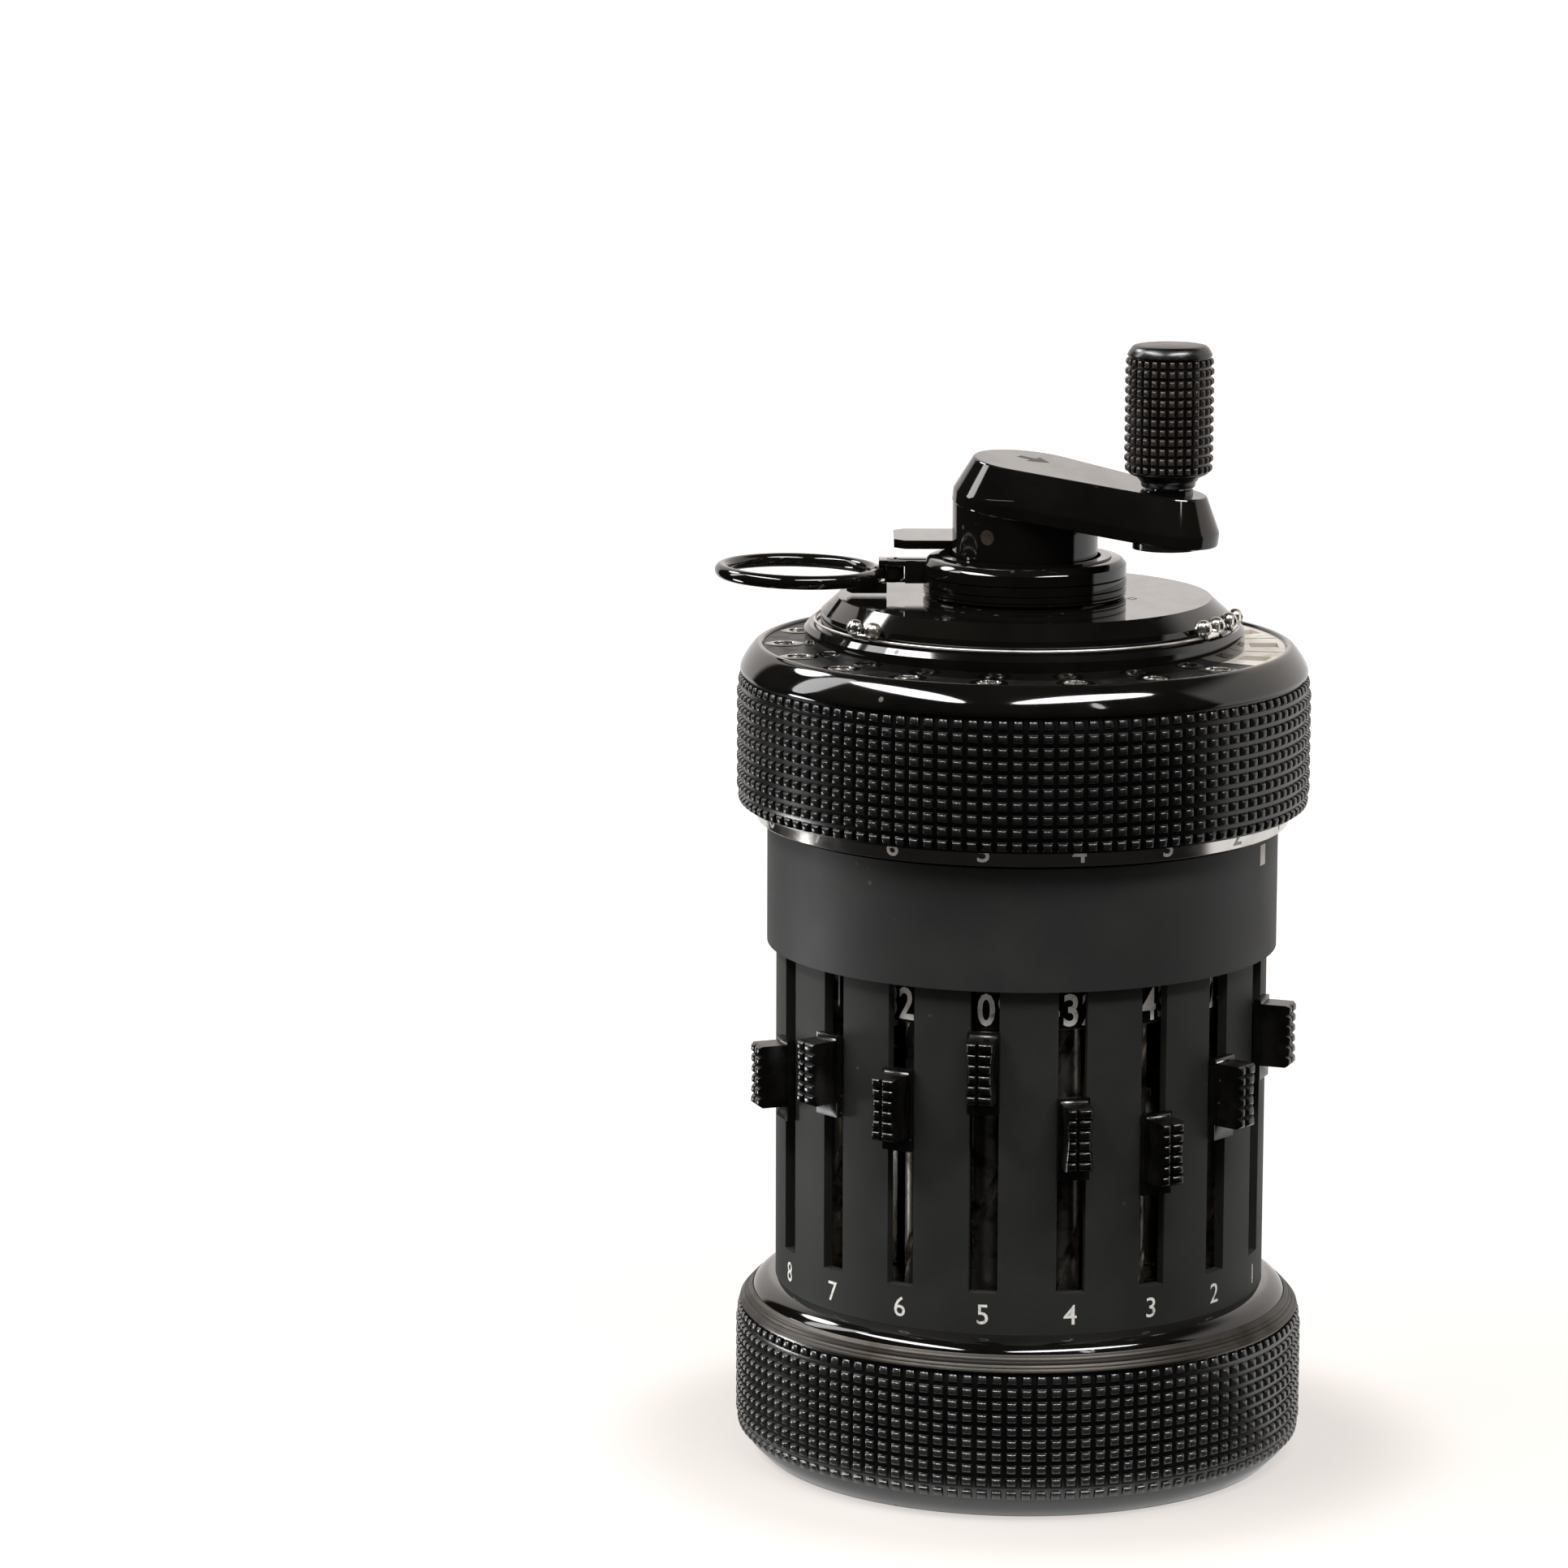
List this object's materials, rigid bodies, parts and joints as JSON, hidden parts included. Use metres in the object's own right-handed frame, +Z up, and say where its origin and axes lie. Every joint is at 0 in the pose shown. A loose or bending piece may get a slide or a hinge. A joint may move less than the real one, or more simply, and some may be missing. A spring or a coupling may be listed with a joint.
{
  "type": "mechanical calculator",
  "caption": "Hand-held drum-shaped mechanical calculator with setting sliders, a lifting and turning dial carriage, a clearing ring and a top crank.",
  "frame": {"origin": "centre of the circle that the base stands on; the drum-shaped body's axis is Z", "axes": "+Z up along the machine axis, -Y towards the user and the middle of the setting sliders, +X to the user's right"},
  "size_m": [0.0553, 0.053, 0.1049],
  "materials": {
    "black_enamel": "semi-gloss black enamel",
    "matt_black": "matt black anodised",
    "steel": "bright turned steel",
    "aluminium": "satin aluminium",
    "brass": "turned brass",
    "cream_enamel": "cream enamel",
    "dial_black": "black dials with white digits"
  },
  "bodies": {
    "housing": {"base_ring": "black_enamel", "base_cover": "matt_black", "body_tube": "matt_black", "upper_band": "matt_black", "lower_bearing_plate": "brass", "roll_bearing_ring": "brass", "upper_bearing_plate": "steel"},
    "lifting_washer": {"lift_washer": "steel"},
    "crank": {"main_shaft": "steel", "stepped_drum": "aluminium", "crank_arm": "black_enamel", "crank_cross_pin": "steel", "knob_stud": "steel"},
    "knob": {"crank_knob": "black_enamel"},
    "carriage_lifter": {"carriage_spring": "steel"},
    "carriage": {"carriage_ring": "black_enamel", "carriage_cone": "black_enamel", "carriage_neck": "black_enamel", "result_window_plate": "black_enamel", "counter_window_plate": "cream_enamel", "result_dials": "dial_black", "counter_dials": "dial_black"},
    "lever": {"clearing_lever": "black_enamel"},
    "ring": {"clearing_ring": "black_enamel"},
    "marker_1": {"decimal_marker_1": "steel"},
    "marker_2": {"decimal_marker_2": "steel"},
    "marker_3": {"decimal_marker_3": "steel"},
    "reverser": {"reversing_lever": "black_enamel"},
    "setting_1": {"slider_1": "black_enamel"},
    "roll_1": {"setting_shaft_1": "aluminium"},
    "drive_1": {"drive_shaft_1": "steel"},
    "gear_1": {"pinion_1": "brass"},
    "setting_2": {"slider_2": "black_enamel"},
    "roll_2": {"setting_shaft_2": "aluminium"},
    "drive_2": {"drive_shaft_2": "steel"},
    "gear_2": {"pinion_2": "brass"},
    "setting_3": {"slider_3": "black_enamel"},
    "roll_3": {"setting_shaft_3": "aluminium"},
    "drive_3": {"drive_shaft_3": "steel"},
    "gear_3": {"pinion_3": "brass"},
    "setting_4": {"slider_4": "black_enamel"},
    "roll_4": {"setting_shaft_4": "aluminium"},
    "drive_4": {"drive_shaft_4": "steel"},
    "gear_4": {"pinion_4": "brass"},
    "setting_5": {"slider_5": "black_enamel"},
    "roll_5": {"setting_shaft_5": "aluminium"},
    "drive_5": {"drive_shaft_5": "steel"},
    "gear_5": {"pinion_5": "brass"},
    "setting_6": {"slider_6": "black_enamel"},
    "roll_6": {"setting_shaft_6": "aluminium"},
    "drive_6": {"drive_shaft_6": "steel"},
    "gear_6": {"pinion_6": "brass"},
    "setting_7": {"slider_7": "black_enamel"},
    "roll_7": {"setting_shaft_7": "aluminium"},
    "drive_7": {"drive_shaft_7": "steel"},
    "gear_7": {"pinion_7": "brass"},
    "setting_8": {"slider_8": "black_enamel"},
    "roll_8": {"setting_shaft_8": "aluminium"},
    "drive_8": {"drive_shaft_8": "steel"},
    "gear_8": {"pinion_8": "brass"}
  },
  "joints": [
    {"name": "crank_lift", "type": "slide", "parent": "housing", "child": "lifting_washer", "axis": [0, 0, 1], "range_m": [0, 0.003]},
    {"name": "crank_turn", "type": "hinge", "parent": "lifting_washer", "child": "crank", "pos_m": [0, 0, 0.05], "axis": [0, 0, 1], "continuous": true},
    {"name": "knob_spin", "type": "hinge", "parent": "crank", "child": "knob", "pos_m": [0.01265, -0.00748, 0.098], "axis": [0, 0, 1], "continuous": true},
    {"name": "carriage_lift", "type": "slide", "parent": "housing", "child": "carriage_lifter", "axis": [0, 0, 1], "range_m": [0, 0.002], "stiffness_N_per_m": 1500, "springref_m": -0.001},
    {"name": "carriage_turn", "type": "hinge", "parent": "carriage_lifter", "child": "carriage", "pos_m": [0, 0, 0.07], "axis": [0, 0, 1], "range_deg": [0, 100]},
    {"name": "clearing_turn", "type": "hinge", "parent": "carriage", "child": "lever", "pos_m": [0, 0, 0.083], "axis": [0, 0, 1], "continuous": true},
    {"name": "ring_fold", "type": "hinge", "parent": "lever", "child": "ring", "pos_m": [-0.0122, 0, 0.08295], "axis": [0, 0, 1], "range_deg": [-65, 0]},
    {"name": "marker_1_turn", "type": "hinge", "parent": "carriage", "child": "marker_1", "pos_m": [0, 0, 0.0795], "axis": [0, 0, 1], "range_deg": [-100, 90]},
    {"name": "marker_2_turn", "type": "hinge", "parent": "carriage", "child": "marker_2", "pos_m": [0, 0, 0.0795], "axis": [0, 0, 1], "range_deg": [-90, 4]},
    {"name": "marker_3_turn", "type": "hinge", "parent": "carriage", "child": "marker_3", "pos_m": [0, 0, 0.0795], "axis": [0, 0, 1], "range_deg": [-4, 150]},
    {"name": "reversing_slide", "type": "slide", "parent": "housing", "child": "reverser", "axis": [0, 0, 1], "range_m": [-0.005, 0]},
    {"name": "slider_1_slide", "type": "slide", "parent": "housing", "child": "setting_1", "axis": [0, 0, 1], "range_m": [-0.018, 0]},
    {"name": "roll_1_turn", "type": "hinge", "parent": "housing", "child": "roll_1", "pos_m": [0.01729, -0.00629, 0.03], "axis": [0, 0, 1], "range_deg": [-1, 325]},
    {"name": "drive_1_turn", "type": "hinge", "parent": "housing", "child": "drive_1", "pos_m": [0.01222, -0.00445, 0.04], "axis": [0, 0, 1], "continuous": true},
    {"name": "pinion_1_turn", "type": "hinge", "parent": "setting_1", "child": "gear_1", "pos_m": [0.01222, -0.00445, 0.0416], "axis": [0, 0, 1], "continuous": true},
    {"name": "slider_2_slide", "type": "slide", "parent": "housing", "child": "setting_2", "axis": [0, 0, 1], "range_m": [-0.014, 0.004]},
    {"name": "roll_2_turn", "type": "hinge", "parent": "housing", "child": "roll_2", "pos_m": [0.0141, -0.01183, 0.03], "axis": [0, 0, 1], "range_deg": [-73, 253]},
    {"name": "drive_2_turn", "type": "hinge", "parent": "housing", "child": "drive_2", "pos_m": [0.00996, -0.00836, 0.04], "axis": [0, 0, 1], "continuous": true},
    {"name": "pinion_2_turn", "type": "hinge", "parent": "setting_2", "child": "gear_2", "pos_m": [0.00996, -0.00836, 0.0376], "axis": [0, 0, 1], "continuous": true},
    {"name": "slider_3_slide", "type": "slide", "parent": "housing", "child": "setting_3", "axis": [0, 0, 1], "range_m": [-0.01, 0.008]},
    {"name": "roll_3_turn", "type": "hinge", "parent": "housing", "child": "roll_3", "pos_m": [0.0092, -0.01593, 0.03], "axis": [0, 0, 1], "range_deg": [-145, 181]},
    {"name": "drive_3_turn", "type": "hinge", "parent": "housing", "child": "drive_3", "pos_m": [0.0065, -0.01126, 0.04], "axis": [0, 0, 1], "continuous": true},
    {"name": "pinion_3_turn", "type": "hinge", "parent": "setting_3", "child": "gear_3", "pos_m": [0.0065, -0.01126, 0.0336], "axis": [0, 0, 1], "continuous": true},
    {"name": "slider_4_slide", "type": "slide", "parent": "housing", "child": "setting_4", "axis": [0, 0, 1], "range_m": [-0.012, 0.006]},
    {"name": "roll_4_turn", "type": "hinge", "parent": "housing", "child": "roll_4", "pos_m": [0.0032, -0.01812, 0.03], "axis": [0, 0, 1], "range_deg": [-109, 217]},
    {"name": "drive_4_turn", "type": "hinge", "parent": "housing", "child": "drive_4", "pos_m": [0.00226, -0.0128, 0.04], "axis": [0, 0, 1], "continuous": true},
    {"name": "pinion_4_turn", "type": "hinge", "parent": "setting_4", "child": "gear_4", "pos_m": [0.00226, -0.0128, 0.0356], "axis": [0, 0, 1], "continuous": true},
    {"name": "slider_5_slide", "type": "slide", "parent": "housing", "child": "setting_5", "axis": [0, 0, 1], "range_m": [-0.018, 0]},
    {"name": "roll_5_turn", "type": "hinge", "parent": "housing", "child": "roll_5", "pos_m": [-0.0032, -0.01812, 0.03], "axis": [0, 0, 1], "range_deg": [-1, 325]},
    {"name": "drive_5_turn", "type": "hinge", "parent": "housing", "child": "drive_5", "pos_m": [-0.00226, -0.0128, 0.04], "axis": [0, 0, 1], "continuous": true},
    {"name": "pinion_5_turn", "type": "hinge", "parent": "setting_5", "child": "gear_5", "pos_m": [-0.00226, -0.0128, 0.0416], "axis": [0, 0, 1], "continuous": true},
    {"name": "slider_6_slide", "type": "slide", "parent": "housing", "child": "setting_6", "axis": [0, 0, 1], "range_m": [-0.014, 0.004]},
    {"name": "roll_6_turn", "type": "hinge", "parent": "housing", "child": "roll_6", "pos_m": [-0.0092, -0.01593, 0.03], "axis": [0, 0, 1], "range_deg": [-73, 253]},
    {"name": "drive_6_turn", "type": "hinge", "parent": "housing", "child": "drive_6", "pos_m": [-0.0065, -0.01126, 0.04], "axis": [0, 0, 1], "continuous": true},
    {"name": "pinion_6_turn", "type": "hinge", "parent": "setting_6", "child": "gear_6", "pos_m": [-0.0065, -0.01126, 0.0376], "axis": [0, 0, 1], "continuous": true},
    {"name": "slider_7_slide", "type": "slide", "parent": "housing", "child": "setting_7", "axis": [0, 0, 1], "range_m": [-0.016, 0.002]},
    {"name": "roll_7_turn", "type": "hinge", "parent": "housing", "child": "roll_7", "pos_m": [-0.0141, -0.01183, 0.03], "axis": [0, 0, 1], "range_deg": [-37, 289]},
    {"name": "drive_7_turn", "type": "hinge", "parent": "housing", "child": "drive_7", "pos_m": [-0.00996, -0.00836, 0.04], "axis": [0, 0, 1], "continuous": true},
    {"name": "pinion_7_turn", "type": "hinge", "parent": "setting_7", "child": "gear_7", "pos_m": [-0.00996, -0.00836, 0.0396], "axis": [0, 0, 1], "continuous": true},
    {"name": "slider_8_slide", "type": "slide", "parent": "housing", "child": "setting_8", "axis": [0, 0, 1], "range_m": [-0.014, 0.004]},
    {"name": "roll_8_turn", "type": "hinge", "parent": "housing", "child": "roll_8", "pos_m": [-0.01729, -0.00629, 0.03], "axis": [0, 0, 1], "range_deg": [-73, 253]},
    {"name": "drive_8_turn", "type": "hinge", "parent": "housing", "child": "drive_8", "pos_m": [-0.01222, -0.00445, 0.04], "axis": [0, 0, 1], "continuous": true},
    {"name": "pinion_8_turn", "type": "hinge", "parent": "setting_8", "child": "gear_8", "pos_m": [-0.01222, -0.00445, 0.0376], "axis": [0, 0, 1], "continuous": true}
  ],
  "couplings": [
    {"joint": "roll_1_turn", "follows": "slider_1_slide", "rad_per_m": -314.16},
    {"joint": "pinion_1_turn", "follows": "drive_1_turn", "ratio": 1},
    {"joint": "roll_2_turn", "follows": "slider_2_slide", "rad_per_m": -314.16},
    {"joint": "pinion_2_turn", "follows": "drive_2_turn", "ratio": 1},
    {"joint": "roll_3_turn", "follows": "slider_3_slide", "rad_per_m": -314.16},
    {"joint": "pinion_3_turn", "follows": "drive_3_turn", "ratio": 1},
    {"joint": "roll_4_turn", "follows": "slider_4_slide", "rad_per_m": -314.16},
    {"joint": "pinion_4_turn", "follows": "drive_4_turn", "ratio": 1},
    {"joint": "roll_5_turn", "follows": "slider_5_slide", "rad_per_m": -314.16},
    {"joint": "pinion_5_turn", "follows": "drive_5_turn", "ratio": 1},
    {"joint": "roll_6_turn", "follows": "slider_6_slide", "rad_per_m": -314.16},
    {"joint": "pinion_6_turn", "follows": "drive_6_turn", "ratio": 1},
    {"joint": "roll_7_turn", "follows": "slider_7_slide", "rad_per_m": -314.16},
    {"joint": "pinion_7_turn", "follows": "drive_7_turn", "ratio": 1},
    {"joint": "roll_8_turn", "follows": "slider_8_slide", "rad_per_m": -314.16},
    {"joint": "pinion_8_turn", "follows": "drive_8_turn", "ratio": 1}
  ]
}
